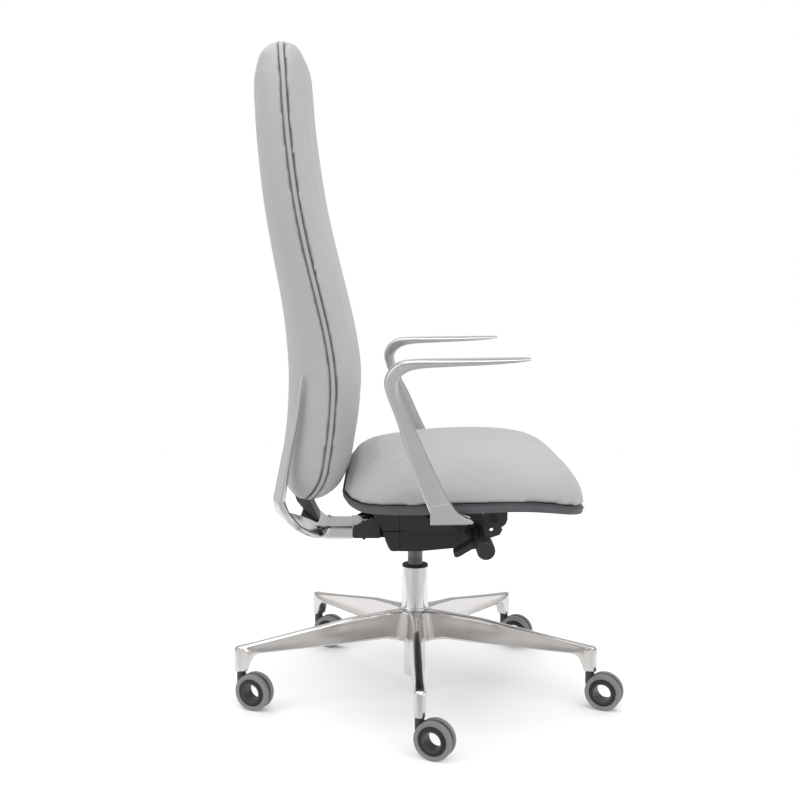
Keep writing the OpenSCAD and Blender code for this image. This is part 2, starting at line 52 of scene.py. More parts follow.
class Look:
    """A node material built step by step."""

    def __init__(self, name):
        self.mat = bpy.data.materials.new(name)
        self.mat.use_nodes = True
        self.tree = self.mat.node_tree
        self.shader = self.tree.nodes["Principled BSDF"]
        self.coord = self.tree.nodes.new("ShaderNodeTexCoord").outputs["Object"]

    def node(self, kind, **inputs):
        n = self.tree.nodes.new(kind)
        for key, value in inputs.items():
            sock = n.inputs[key.replace("_", " ")]
            if hasattr(value, "links"):
                self.tree.links.new(value, sock)
            else:
                sock.default_value = value
        return n

    def set(self, **inputs):
        for key, value in inputs.items():
            self.shader.inputs[key.replace("_", " ")].default_value = value
        return self

    def stretched(self, x, y, z):
        m = self.node("ShaderNodeMapping", Vector=self.coord, Scale=(x, y, z))
        return m.outputs[0]

    def noise(self, scale, detail=3.0, rough=0.5, coord=None):
        n = self.node("ShaderNodeTexNoise", Vector=coord or self.coord, Scale=scale,
                      Detail=detail, Roughness=rough)
        return n.outputs["Fac"]

    def cells(self, scale, coord=None, feature="DISTANCE_TO_EDGE"):
        n = self.node("ShaderNodeTexVoronoi", Vector=coord or self.coord, Scale=scale)
        n.feature = feature
        return n.outputs["Distance"]

    def ramp(self, fac, stops):
        n = self.node("ShaderNodeValToRGB", Fac=fac)
        el = n.color_ramp.elements
        while len(el) < len(stops):
            el.new(0.5)
        for e, (pos, col) in zip(el, stops):
            e.position = pos
            e.color = col if len(col) == 4 else (*col, 1)
        return n.outputs["Color"]

    def span(self, fac, low, high, a=0.0, b=1.0):
        n = self.node("ShaderNodeMapRange", Value=fac)
        n.inputs["From Min"].default_value = a
        n.inputs["From Max"].default_value = b
        n.inputs["To Min"].default_value = low
        n.inputs["To Max"].default_value = high
        return n.outputs[0]

    def mix(self, fac, a, b, blend="MIX"):
        n = self.tree.nodes.new("ShaderNodeMix")
        n.data_type = "RGBA"
        n.blend_type = blend
        for sock, value in ((n.inputs[0], fac), (n.inputs[6], a), (n.inputs[7], b)):
            if hasattr(value, "links"):
                self.tree.links.new(value, sock)
            elif isinstance(value, (int, float)):
                sock.default_value = value
            else:
                sock.default_value = (*value, 1) if len(value) == 3 else value
        return n.outputs[2]

    def colour(self, source):
        self.tree.links.new(source, self.shader.inputs["Base Color"])
        return self

    def rough(self, source):
        self.tree.links.new(source, self.shader.inputs["Roughness"])
        return self

    def bump(self, *layers):
        """layers: (height, strength, distance in mm), coarse first."""
        normal = None
        for height, strength, dist in layers:
            b = self.node("ShaderNodeBump", Height=height, Strength=strength,
                          Distance=dist * MM)
            if normal is not None:
                self.tree.links.new(normal, b.inputs["Normal"])
            normal = b.outputs[0]
        self.tree.links.new(normal, self.shader.inputs["Normal"])
        return self

    def worn(self, amount=1.0):
        """0 on open faces, 1 on outside edges."""
        p = self.tree.nodes.new("ShaderNodeNewGeometry").outputs["Pointiness"]
        return self.span(p, 0.0, amount, 0.52, 0.6)


def polished(name, tint=(0.80, 0.79, 0.80), rough=0.13, streaks=0.0):
    k = Look(name).set(Metallic=1.0)
    cloud = k.noise(14, 4)
    grain = k.noise(900, 2)
    k.colour(k.ramp(cloud, [(0.3, tuple(c * 0.93 for c in tint)), (0.7, tint)]))
    k.rough(k.span(cloud, rough * 0.75, rough * 1.35, 0.3, 0.7))
    layers = [(cloud, 0.05, 0.4), (grain, 0.06, 0.03)]
    if streaks:
        # Polishing marks that run outwards from the column's axis
        away = k.node("ShaderNodeVectorMath", Vector=k.stretched(1, 1, 0))
        away.operation = "NORMALIZE"
        layers.insert(1, (k.noise(55, 3, coord=away.outputs[0]), streaks, 0.5))
    k.bump(*layers)
    return k.mat


def painted(name, tint, rough=0.45, pebble=1400, depth=0.06, metallic=0.0, wear=0.0,
            spec=0.5):
    k = Look(name).set(Metallic=metallic, **{"Specular_IOR_Level": spec})
    cloud = k.noise(26, 4)
    fine = k.noise(pebble, 2)
    col = k.ramp(cloud, [(0.3, tuple(c * 0.86 for c in tint)),
                         (0.72, tuple(min(1, c * 1.1) for c in tint))])
    if wear:
        col = k.mix(k.worn(wear), col, tuple(min(1, c * 3 + 0.03) for c in tint))
    k.colour(col)
    k.rough(k.span(cloud, rough * 0.88, rough * 1.14, 0.3, 0.7))
    k.bump((fine, 0.35, depth))
    return k.mat


def leatherette(name, tint, rough=0.56):
    k = Look(name).set(**{"Specular_IOR_Level": 0.32, "Sheen_Weight": 0.12,
                          "Sheen_Roughness": 0.5})
    warp = k.noise(120, 2)
    cell = k.cells(900)
    pore = k.noise(2600, 2)
    cloud = k.noise(5, 4)
    tone = k.ramp(cloud, [(0.32, tuple(c * 0.965 for c in tint)),
                          (0.68, tuple(min(1, c * 1.02) for c in tint))])
    crease = k.span(cell, 0.90, 1.0, 0.0, 0.10)
    shade = k.node("ShaderNodeCombineColor", Red=crease, Green=crease, Blue=crease)
    k.colour(k.mix(1.0, tone, shade.outputs[0], "MULTIPLY"))
    k.rough(k.span(warp, rough * 0.92, rough * 1.1, 0.3, 0.7))
    k.bump((warp, 0.08, 0.5), (cell, 0.3, 0.12), (pore, 0.15, 0.04))
    return k.mat


ALU = polished("polished_aluminium", (0.69, 0.673, 0.66), 0.16, streaks=0.25)
ALU_ARM = polished("polished_aluminium_arm", (0.66, 0.65, 0.655), 0.17)
CHROME = polished("chrome", (0.75, 0.74, 0.76), 0.08)
STEEL = polished("zinc_steel", (0.55, 0.55, 0.56), 0.32)
SPRING = painted("spring_steel", (0.10, 0.10, 0.11), 0.35, metallic=0.8)
GAS = painted("gas_cylinder_grey", (0.135, 0.132, 0.142), 0.30, 2200, 0.02, metallic=0.75)
BLACK_STEEL = painted("black_powder_coat", (0.014, 0.014, 0.0155), 0.42, 1100, 0.08, wear=0.5,
                      spec=0.4)
COVER = painted("cover_plastic", (0.024, 0.024, 0.0265), 0.46, 1500, 0.07, wear=0.35, spec=0.4)
GRIP = painted("grip_plastic", (0.030, 0.029, 0.031), 0.38, 1800, 0.05, wear=0.3, spec=0.4)
PAN = painted("pan_plastic", (0.115, 0.108, 0.122), 0.55, 1300, 0.10)
BRACKET = painted("bracket_plastic", (0.090, 0.086, 0.094), 0.5, 1300, 0.08)
RUBBER = painted("bush_black", (0.012, 0.012, 0.013), 0.5, 900, 0.05)
CASTOR = painted("castor_plastic", (0.030, 0.030, 0.032), 0.36, 1500, 0.05, wear=0.3)
TYRE = painted("tyre_grey", (0.225, 0.228, 0.232), 0.52, 1700, 0.08)
BOLT = painted("bolt_black", (0.05, 0.05, 0.052), 0.34, 1600, 0.03, metallic=0.8, wear=0.6)
SKIN = leatherette("leatherette_grey", (0.50, 0.495, 0.485))
BAND = leatherette("leatherette_band", (0.49, 0.485, 0.475))
# Painted shadow: a dark colour for the line where the seat cushion meets the pan, standing in for
# the shade in that join.
SEAT_SEAM_SHADOW = painted("seam_shadow", (0.075, 0.073, 0.073), 0.8, 900, 0.1)
SEAM = painted("back_seam_thread", (0.15, 0.147, 0.143), 0.8, 900, 0.1)


# ---------------------------------------------------------------- mesh tools

def between(a, b, c, d, t):
    return [0.5 * (2 * q + (r - p) * t + (2 * p - 5 * q + 4 * r - s) * t * t
                   + (3 * q - p - 3 * r + s) * t * t * t) for p, q, r, s in zip(a, b, c, d)]


def smooth(rows, n):
    last = len(rows) - 1
    out = []
    for i in range(last):
        for k in range(n):
            out.append(between(rows[max(i - 1, 0)], rows[i], rows[i + 1],
                               rows[min(i + 2, last)], k / n))
    return out + [list(rows[last])]


def curve_at(table, x):
    """Straight interpolation in [(x, value), ...]."""
    if x <= table[0][0]:
        return table[0][1]
    for (x0, v0), (x1, v1) in zip(table, table[1:]):
        if x <= x1:
            return v0 + (v1 - v0) * (x - x0) / (x1 - x0)
    return table[-1][1]


def soft_at(table, x):
    """The same with eased corners."""
    w = 6.0
    return sum(curve_at(table, x + d * w) for d in (-1, -0.5, 0, 0.5, 1)) / 5


def spow(v, p):
    return math.copysign(abs(v) ** p, v)


def unit(v):
    v = Vector(v)
    return v / v.length


def linked(bm, name):
    """An object in the scene that takes over the bmesh's faces."""
    mesh = bpy.data.meshes.new(name)
    bm.to_mesh(mesh)
    bm.free()
    obj = bpy.data.objects.new(name, mesh)
    bpy.context.scene.collection.objects.link(obj)
    return obj


class Piece:
    """Collects faces in millimetres, then becomes one object riding on a body."""

    def __init__(self):
        self.bm = bmesh.new()

    def add(self, verts, faces, place=None):
        made = []
        for v in verts:
            v = Vector(v)
            if place is not None:
                v = place @ v
            made.append(self.bm.verts.new(v * MM))
        for f in faces:
            try:
                self.bm.faces.new([made[i] for i in f])
            except ValueError:
                pass
        return self

    def loft(self, rings, place=None, caps=True):
        n, m = len(rings[0]), len(rings)
        verts = [p for r in rings for p in r]
        faces = []
        for j in range(m - 1):
            for i in range(n):
                faces.append((j * n + i, (j + 1) * n + i, (j + 1) * n + (i + 1) % n,
                              j * n + (i + 1) % n))
        if caps:
            faces.append(list(range(n)))
            faces.append([(m - 1) * n + i for i in range(n - 1, -1, -1)])
        return self.add(verts, faces, place)

    def spin(self, profile, place=None, steps=96, closed=True, wave=None):
        """profile: [(radius, height)...] about +Z; wave(angle, r, h) may move a point."""
        rings = []
        for s in range(steps):
            a = 2 * math.pi * s / steps
            ring = []
            for r, h in profile:
                rr, hh = wave(a, r, h) if wave else (r, h)
                ring.append((rr * math.cos(a), rr * math.sin(a), hh))
            rings.append(ring)
        n = len(profile)
        verts = [p for r in rings for p in r]
        faces = []
        for j in range(steps):
            k = (j + 1) % steps
            for i in range(n if closed else n - 1):
                i2 = (i + 1) % n
                faces.append((j * n + i, k * n + i, k * n + i2, j * n + i2))
        return self.add(verts, faces, place)

    def slab(self, outline, x0, x1, place=None):
        """A flat outline of [y, z] pushed along X."""
        n = len(outline)
        verts = [(x0, y, z) for y, z in outline] + [(x1, y, z) for y, z in outline]
        faces = [list(range(n - 1, -1, -1)), list(range(n, 2 * n))]
        for i in range(n):
            j = (i + 1) % n
            faces.append((i, j, n + j, n + i))
        return self.add(verts, faces, place)

    def block(self, lo, hi, place=None):
        return self.slab([(lo[1], lo[2]), (hi[1], lo[2]), (hi[1], hi[2]), (lo[1], hi[2])],
                         lo[0], hi[0], place)

    def tube(self, path, radius, sides=10, ends=True):
        """A round bead along a path of points; radius may be a list."""
        pts = [Vector(p) for p in path]
        up = None
        rings = []
        for i, p in enumerate(pts):
            d = (pts[min(i + 1, len(pts) - 1)] - pts[max(i - 1, 0)]).normalized()
            if up is None:
                up = d.orthogonal().normalized()
            side = d.cross(up).normalized()
            up = side.cross(d).normalized()
            r = radius[i] if isinstance(radius, (list, tuple)) else radius
            rings.append([p + r * (math.cos(a) * side + math.sin(a) * up)
                          for a in (2 * math.pi * k / sides for k in range(sides))])
        return self.loft(rings, caps=ends)

    def done(self, name, mat, body, nodes=(), bevel=0.0, steps=2, angle=30, sharp=35,
             weld=0.0):
        bm = self.bm
        if weld:
            bmesh.ops.remove_doubles(bm, verts=bm.verts, dist=weld * MM)
        bmesh.ops.recalc_face_normals(bm, faces=bm.faces)
        for f in bm.faces:
            f.smooth = True
        if not bevel:
            for e in bm.edges:
                if len(e.link_faces) == 2 and e.calc_face_angle(0) > math.radians(sharp):
                    e.smooth = False
        obj = linked(bm, name)
        obj.data.materials.append(mat)
        if bevel:
            m = obj.modifiers.new("Bevel", "BEVEL")
            m.width = bevel * MM
            m.segments = steps
            m.limit_method = "ANGLE"
            m.angle_limit = math.radians(angle)
            m.harden_normals = False
            m = obj.modifiers.new("Weighted", "WEIGHTED_NORMAL")
            m.keep_sharp = True
        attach(obj, body)
        if nodes:
            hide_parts(*nodes)
        return obj


def across(y, z, x=0.0):
    """Puts +Z of a spun profile along +X at that height."""
    return Matrix.Translation((x, y, z)) @ Matrix.Rotation(math.radians(90), 4, "Y")


MIRROR = Matrix.Diagonal((-1, 1, 1, 1))


def baked(obj):
    """Applies the modifiers to the mesh."""
    graph = bpy.context.evaluated_depsgraph_get()
    graph.update()
    mesh = bpy.data.meshes.new_from_object(obj.evaluated_get(graph))
    old = obj.data
    obj.modifiers.clear()
    obj.data = mesh
    bpy.data.meshes.remove(old)
    return obj


def cut(obj, *cutters):
    """Takes the cutters away from the object."""
    for c in cutters:
        m = obj.modifiers.new("Cut", "BOOLEAN")
        m.operation = "DIFFERENCE"
        m.solver = "EXACT"
        m.object = c
    baked(obj)
    for c in cutters:
        bpy.data.objects.remove(c)
    return obj


def tool(piece):
    """A cutter made from a Piece."""
    bmesh.ops.recalc_face_normals(piece.bm, faces=piece.bm.faces)
    return linked(piece.bm, "cutter")


# ---------------------------------------------------------------- base star

LEG_TOP = [(0, 153), (30, 153), (48, 152.4), (127, 146), (264, 123), (326, 113.2), (337, 112),
           (342, 108)]
LEG_FOOT = [(0, 98), (31, 98), (60, 103), (127, 101), (240, 99), (298, 98), (305, 96.3),
            (310, 92.5), (314, 86.5), (317, 79), (319.3, 72.5), (321.5, 69), (324, 68),
            (345, 68)]
STATIONS = ([60 + 8 * i for i in range(30)] + [298, 301, 304, 306.5, 309, 311, 313, 315, 317,
            318.5, 320, 321.5, 323, 325, 328, 331, 334, 336.5, 338.5, 340.2, 341.4, 342])
POLAR = 22


def leg_ring(radius, width, height):
    """One closed run round the whole star. width(x) and height(x) along a leg."""
    theta0 = math.asin(min(0.9, width(60) / 60))
    half = []
    for j in range(POLAR):
        t = j / POLAR
        th = math.radians(36) + (theta0 - math.radians(36)) * (1 - (1 - t) ** 1.6)
        w = width(min(60, 20 + 40 * t))
        rho = (radius ** 7 + (w / math.sin(th)) ** 7) ** (1 / 7)
        half.append((rho * math.cos(th), rho * math.sin(th), height(rho)))
    for x in STATIONS:
        w = width(x)
        if x > 330:
            w *= math.sqrt(max(0.0, 1 - ((x - 330) / 12.35) ** 2.6))
        half.append((x, w, height(x)))
    run = half + [(x, -y, z) for x, y, z in reversed(half)]
    out = []
    for i in range(LEGS):
        m = Matrix.Rotation(math.radians(180 + 72 * i), 4, "Z")
        for p in run:
            out.append(m @ Vector(p))
    return out


def ring_in(radius, height):
    """The ring on a bore, matched point for point to leg_ring."""
    out = []
    count = POLAR + len(STATIONS)
    for i in range(LEGS):
        for k in range(2 * count):
            j = k if k < count else 2 * count - 1 - k
            side = 1 if k < count else -1
            if j < POLAR:
                th = math.radians(36 * (1 - j / POLAR) ** 1.0) * side
                p = Vector((radius * math.cos(th), radius * math.sin(th), height(radius)))
            else:
                x = STATIONS[j - POLAR]
                back = max(0.0, 1 - (j - POLAR) / 8)
                x = x - (60 - radius) * back ** 1.2
                p = Vector((x, 0, height(x)))
            out.append(Matrix.Rotation(math.radians(180 + 72 * i), 4, "Z") @ p)
    return out


def base_star():
    top = lambda x: soft_at(LEG_TOP, x) if x < 322 else curve_at(LEG_TOP, x)
    foot = lambda x: curve_at(LEG_FOOT, x)
    wide = [(0, 12), (60, 9.2), (110, 7.2), (180, 6.8), (300, 6.8), (320, 7.6), (342, 8.2)]
    side = [(0, 14.5), (60, 12.8), (127, 11.8), (300, 10.2), (322, 10.2), (342, 10)]
    # Underside of the side panel: it climbs near the hub and at the leg's end
    sill = [(0, 101), (40, 104), (60, 108), (90, 106.5), (140, 103.8), (200, 101.8),
            (300, 100.3), (318, 103.5), (324, 105.5), (336, 110.2), (342, 107)]
    tuck = [(0, 0.6), (40, 1.2), (60, 3.2), (110, 2.2), (200, 1.0), (300, 0.5), (318, 0.1),
            (342, 0.1)]
    inset = [(0, 0.0), (50, 0.0), (70, 0.5), (300, 0.9), (322, 1.1), (333, 0.4), (342, 0.0)]
    f = curve_at
    low = lambda x: min(f(sill, x), top(x) - 3.4)
    rings = [
        ring_in(25.06, lambda x: top(x) + 0.15),
        leg_ring(27.6, lambda x: f(wide, x) * 0.3, lambda x: top(x) + 0.08),
        leg_ring(28.6, lambda x: f(wide, x) * 0.6, lambda x: top(x) - 0.15),
        leg_ring(29.6, lambda x: f(wide, x) - 1.2, lambda x: top(x) - 0.55),
        leg_ring(30.3, lambda x: f(wide, x) - 0.4, lambda x: top(x) - 0.95),
        leg_ring(30.8, lambda x: f(wide, x), lambda x: top(x) - 1.6),
        leg_ring(31.1, lambda x: f(wide, x) + 0.5, lambda x: top(x) - 2.6),
        leg_ring(31.2, lambda x: f(wide, x) + 0.9 - f(inset, x), lambda x: top(x) - 3.2),
    ]
    for k in range(1, 10):
        t = k / 10
        dish = 1.3 * math.sin(math.pi * t)
        rings.append(leg_ring(
            31.2 + 9.0 * t ** 1.3,
            lambda x, t=t, dish=dish: f(wide, x) + 0.9 - f(inset, x)
            + (f(side, x) - f(wide, x) - 0.9 + f(inset, x)) * t ** 0.8
            - dish * f([(0, 0), (60, 1), (300, 0.6), (330, 0.1)], x),
            lambda x, t=t: (top(x) - 3.2) * (1 - t) + low(x) * t))
    rings += [
        leg_ring(40.4, lambda x: f(side, x), low),
        leg_ring(40.8, lambda x: f(side, x) - f(tuck, x) * 0.62,
                 lambda x: low(x) * 0.66 + foot(x) * 0.34),
        leg_ring(40.8, lambda x: f(side, x) - f(tuck, x) * 0.95,
                 lambda x: low(x) * 0.33 + foot(x) * 0.67),
        leg_ring(40.5, lambda x: f(side, x) - f(tuck, x), lambda x: foot(x) + 0.9),
        leg_ring(39.6, lambda x: f(side, x) - f(tuck, x) - 0.9, foot),
        leg_ring(30.0, lambda x: (f(side, x) - f(tuck, x)) * 0.55, foot),
        ring_in(20.2, foot),
    ]
    p = Piece()
    p.loft(rings, caps=False)
    # The bore that holds the column
    p.spin([(25.06, 153.15), (25.06, 99), (20.2, 98)], closed=False, steps=96)
    star = p.done("base_star_casting", ALU, "base", ["base_star"], weld=0.02, sharp=28)
    return star


# ---------------------------------------------------------------- column

def column():
    Piece().spin([(17, 34), (17, 29), (18, 28), (18.6, 28), (19.3, 28.6), (19.9, 29.9), (20, 31),
                  (20, 91), (23, 93), (24.6, 98), (24.98, 101), (24.98, 154), (25.3, 154.3),
                  (25.75, 154.6), (25.9, 155.4), (25.9, 157.6), (25.7, 158.6), (25.25, 159.2),
                  (25, 159.6), (25, 234.6), (24.9, 235.3), (24.5, 235.8), (23.9, 236),
                  (23.05, 236), (23.05, 170), (17, 166)], steps=128) \
        .done("column_tube_chrome", CHROME, "base", ["column_tube"], sharp=30)
    Piece().spin([(14.06, 226), (22.9, 226), (22.9, 236.02), (23.6, 236.05), (24.0, 236.5),
                  (24.0, 238.2), (23.5, 239), (22.2, 239.2), (21.6, 238.6), (21, 238.6),
                  (20.4, 239), (16.6, 239), (15.2, 238.4), (14.4, 237.2), (14.06, 236.4)],
                 steps=128) \
        .done("guide_bush_ring", RUBBER, "base", ["guide_bush"], sharp=30)
    Piece().spin([(5.06, 52), (13, 52), (13.7, 52.3), (14, 53), (14, 252), (13.85, 252.4),
                  (13.85, 253.2), (14, 253.6), (14, 289), (13.4, 318), (2.6, 318), (2.6, 300),
                  (12, 300), (12, 62), (5.06, 62)], steps=96) \
        .done("gas_cylinder_tube", GAS, "gas_rod", ["gas_cylinder"], sharp=30)


# ---------------------------------------------------------------- castors

def castor_place(i):
    a = 180 + 72 * i
    return (Matrix.Rotation(math.radians(a), 4, "Z") @ Matrix.Translation((STEM_R, 0, 0))
            @ Matrix.Rotation(math.radians(-a - CASTOR_YAW), 4, "Z"))


def arc(radius, a0, a1, n, cy=-TRAIL, cz=WHEEL_R):
    """[y, z] points; the angle is from the front of the wheel, over its top."""
    return [(cy - radius * math.cos(math.radians(a0 + (a1 - a0) * k / n)),
             cz + radius * math.sin(math.radians(a0 + (a1 - a0) * k / n)))
            for k in range(n + 1)]


def castor(i):
    place = castor_place(i)
    tag = str(i + 1)
    body = "swivel_" + tag
    # Fender between the discs: over the top, down the front to a point
    outer = arc(30.4, -62, 158, 44)
    inner = arc(21.0, 158, -40, 40)
    fender = Piece().slab(outer + inner, -4, 4, place)
    fender.done(f"castor_{tag}_fender", CASTOR, body, [f"castor_{tag}"], bevel=0.8, steps=2)
    web = Piece()
    web.spin([(15.5, -13.9), (15.9, -14), (17.9, -14), (18.35, -13.6), (18.45, -13),
              (18.45, -4), (22.5, -4), (22.5, 4), (18.45, 4), (18.45, 13), (18.35, 13.6),
              (17.9, 14), (15.9, 14), (15.5, 13.9), (15.5, 5), (15.1, 4.6), (15.1, -4.6),
              (15.5, -5)], place @ across(-TRAIL, WHEEL_R), steps=96)
    web.done(f"castor_{tag}_hub_tube", CASTOR, body, sharp=30)
    # Stem housing, trimmed round the discs
    stem = Piece().spin([(0, 38), (5.4, 38), (7.2, 42), (7.9, 47), (8, 50), (8, 63.6),
                         (7.7, 64.1), (7.7, 64.6), (8.2, 65), (8.4, 65.6), (8.4, 66.8),
                         (8, 67.4), (5.55, 67.4), (5.55, 56.8), (3.05, 56.8), (3.05, 44.8),
                         (0, 44.8)], place, steps=64)
    stem = stem.done(f"castor_{tag}_stem_housing", CASTOR, body, sharp=30)
    trims = []
    for s in (1, -1):
        c = Piece().spin([(0, 3.6), (33.9, 3.6), (33.9, 30), (0, 30)],
                         place @ Matrix.Diagonal((s, 1, 1, 1)) @ across(-TRAIL, WHEEL_R),
                         steps=96)
        trims.append(tool(c))
    cut(stem, *trims)
    # A rib that ties the stem housing to the fender
    rib = Piece().slab([(-15, 60.2), (-9, 61.4), (-4, 62), (-4, 40), (-9, 44), (-15, 50)],
                       -3.9, 3.9, place)
    rib.done(f"castor_{tag}_rib", CASTOR, body, bevel=1.0, steps=2)
    for s, letter in ((1, "a"), (-1, "b")):
        put = place @ Matrix.Diagonal((s, 1, 1, 1)) @ across(-TRAIL, WHEEL_R)
        wheel = "wheel_" + tag + letter
        Piece().spin([(24.55, 4.4), (31.6, 4.4), (32.5, 4.8), (33, 5.6), (33, 10.6),
                      (32.86, 11.6), (32.4, 12.5), (31.6, 13.2), (30.5, 13.6), (29.4, 13.7),
                      (26.4, 13.7), (25.6, 13.5), (25.2, 13.0), (24.9, 12.2), (24.55, 12.0)],
                     put, steps=112) \
            .done(f"tyre_{tag}{letter}_tread", TYRE, wheel, [f"tyre_{tag}{letter}"], sharp=40)

        def notch(a, r, h):
            if 20.2 < r < 22.6 and h > 11:
                c = (a * 18 / (2 * math.pi)) % 1
                if c < 0.2:
                    h -= 0.9
            return r, h

        Piece().spin([(18.6, 4.5), (24.5, 4.5), (24.5, 12.0), (24.2, 12.5), (23.9, 12.6),
                      (23.6, 12.3), (23.4, 11.6), (23.1, 11.3), (22.8, 11.4), (22.4, 12.2),
                      (22.1, 12.4), (20.7, 12.4), (20.4, 12.2), (20.1, 11.5), (19.8, 11.4),
                      (19.6, 11.7), (19.4, 12.5), (19.1, 12.9), (18.6, 12.9)],
                     put, steps=180, wave=notch) \
            .done(f"rim_{tag}{letter}_disc", CASTOR, wheel, [f"rim_{tag}{letter}"], sharp=30)


# ---------------------------------------------------------------- upholstery

SEAT = [[-298, 3, 0.46, -11.5], [-296, 13, 0.50, -17], [-289, 34, 0.64, -17.5],
        [-277, 43, 0.82, -11.5], [-256, 60, 0.93, -4.5], [-225, 73, 0.975, 1.5],
        [-190, 76.5, 0.995, 5.2], [-150, 79, 1, 5.8], [-90, 81, 1, 3.2], [-20, 79.3, 1, 1.2],
        [40, 73, 0.995, -0.2], [75, 69, 0.97, -0.7], [95, 62, 0.94, 0], [108, 53, 0.90, 2.5],
        [118, 36, 0.86, 6.5], [124, 20, 0.80, 9.5], [129, 6, 0.74, 12], [131, 1, 0.68, 13]]
BACK = [[1176, 233, 236, 243, 0.20], [1170, 212, 231, 262, 0.46], [1159, 204, 229, 271, 0.66],
        [1140, 197, 226, 279, 0.78], [1105, 194, 222, 283, 0.87], [1050, 190, 218, 281, 0.92],
        [980, 181, 211, 275.5, 0.95], [900, 168, 200, 266.5, 0.975], [820, 150, 184, 253.5, 0.99],
        [740, 130, 164.5, 239, 1], [670, 114, 148.5, 230, 1], [600, 104, 139.5, 226, 1],
        [530, 106.5, 142.5, 229, 1], [470, 115, 150, 236, 0.985], [436, 121, 157, 237, 0.955],
        [412, 132, 169, 232, 0.89], [396, 148, 181, 225.5, 0.78], [386, 166, 188, 216, 0.60],
        [383, 178, 191, 206.5, 0.44]]
SEAT_HALF, BACK_HALF, SEAM_Z, GUSSET = 242.0, 228.0, 395.0, 8.0
PAN_DEPTH = 38.8


def crown(s, p):
    return math.sqrt(max(0.0, 1 - abs(s) ** p))


SEAM_LINE = [(r[0], SEAM_Z + r[3]) for r in smooth(SEAT, 5)]


def seam_at(y):
    return curve_at(SEAM_LINE, y)


def bag(rings):
    """A closed bag through rings, as a bare object for the cloth run."""
    n, m = len(rings[0]), len(rings)
    bm = bmesh.new()
    vs = [bm.verts.new(Vector(p) * MM) for r in rings for p in r]
    for j in range(m - 1):
        for i in range(n):
            bm.faces.new((vs[j * n + i], vs[(j + 1) * n + i], vs[(j + 1) * n + (i + 1) % n],
                          vs[j * n + (i + 1) % n]))
    for ring in (vs[:n], vs[-n:]):
        bm.faces.new(ring)
    bmesh.ops.triangulate(bm, faces=[f for f in bm.faces if len(f.verts) > 4])
    bmesh.ops.recalc_face_normals(bm, faces=bm.faces)
    return linked(bm, "bag")


def stuffed(obj, name, voxel, cap, held):
    """Remeshes the bag, blows it up as cloth, and keeps every move below the cap.
    held(point in mm) says how much a point may move, from 0 to 1."""
    m = obj.modifiers.new("Remesh", "REMESH")
    m.mode = "VOXEL"
    m.voxel_size = voxel * MM
    m.use_smooth_shade = True
    baked(obj)
    m = obj.modifiers.new("Even", "SMOOTH")
    m.factor = 0.5
    m.iterations = 6
    baked(obj)
    rest = [v.co.copy() for v in obj.data.vertices]
    g = obj.vertex_groups.new(name="pin")
    for i, co in enumerate(rest):
        g.add([i], 1 - held(co / MM), "REPLACE")
    c = obj.modifiers.new("Cloth", "CLOTH")
    c.settings.quality = 6
    c.settings.mass = 0.3
    c.settings.tension_stiffness = 18
    c.settings.compression_stiffness = 18
    c.settings.shear_stiffness = 12
    c.settings.bending_stiffness = 3
    c.settings.use_pressure = True
    c.settings.uniform_pressure_force = 4
    c.settings.effector_weights.gravity = 0
    c.settings.vertex_group_mass = "pin"
    c.collision_settings.use_collision = False
    scene = bpy.context.scene
    scene.frame_start, scene.frame_end = 1, CLOTH_FRAMES
    c.point_cache.frame_start, c.point_cache.frame_end = 1, CLOTH_FRAMES
    for f in range(1, CLOTH_FRAMES + 1):
        scene.frame_set(f)
    baked(obj)
    scene.frame_set(1)
    for v, co in zip(obj.data.vertices, rest):
        d = v.co - co
        limit = cap * MM * held(co / MM)
        if d.length > limit:
            v.co = co + d * (limit / d.length if limit > 0 else 0)
    obj.name = obj.data.name = name
    return obj


def finish_pad(obj, mat, body, nodes):
    obj.data.materials.clear()
    obj.data.materials.append(mat)
    for p in obj.data.polygons:
        p.use_smooth = True
    m = obj.modifiers.new("Subdivision", "SUBSURF")
    m.levels = m.render_levels = 1
    baked(obj)
    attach(obj, body)
    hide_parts(*nodes)
    return obj


def pad_ring(row, face_y, edge_y, n, shrink):
    """Half a back section: from one seam over the face to the other, then straight back."""
    w = BACK_HALF * row[4] - shrink
    sign = 1 if face_y > edge_y else -1
    face = face_y - sign * shrink
    run = []
    for i in range(n + 1):
        s = math.cos(math.pi * i / n)
        run.append((w * s, edge_y + (face - edge_y) * crown(s, 5), row[0]))
    back = [(w * (-1 + 2 * k / 12), edge_y, row[0]) for k in range(1, 12)]
    return run + back


def back_pads():
    rows = smooth(BACK, 5)
    for name, node, front in (("back_front_cushion", "back_front_pad", True),
                              ("back_rear_cushion", "back_rear_pad", False)):
        rings = []
        for r in rows:
            if front:
                rings.append(pad_ring(r, r[1], r[2], 48, 1.2))
            else:
                edge = r[2] + GUSSET
                rings.append(pad_ring(r, max(r[3], edge + 2), edge, 48, 1.2))

        def held(p, front=front):
            row = min(rows, key=lambda r: abs(r[0] - p.z))
            edge = row[2] if front else row[2] + GUSSET
            off = (edge - p.y) if front else (p.y - edge)
            return max(0.0, min(1.0, (off - 2) / 10))

        obj = stuffed(bag(rings), name, 5, 2.0, held)
        finish_pad(obj, SKIN, "back", [node])
    # Band between the two seams
    rings = []
    for r in rows:
        w = BACK_HALF * r[4] - 1.2
        y0, y1 = r[2] - 0.4, r[2] + GUSSET + 0.4
        ring = []
        for k in range(9):
            t = k / 8
            bulge = 1.3 * math.sin(math.pi * t)
            ring.append((w + bulge, y0 + (y1 - y0) * t, r[0]))
        ring += [(-x, y, z) for x, y, z in reversed(ring)]
        rings.append(ring)
    Piece().loft(rings).done("back_band", BAND, "back", ["back_gusset"], sharp=60)


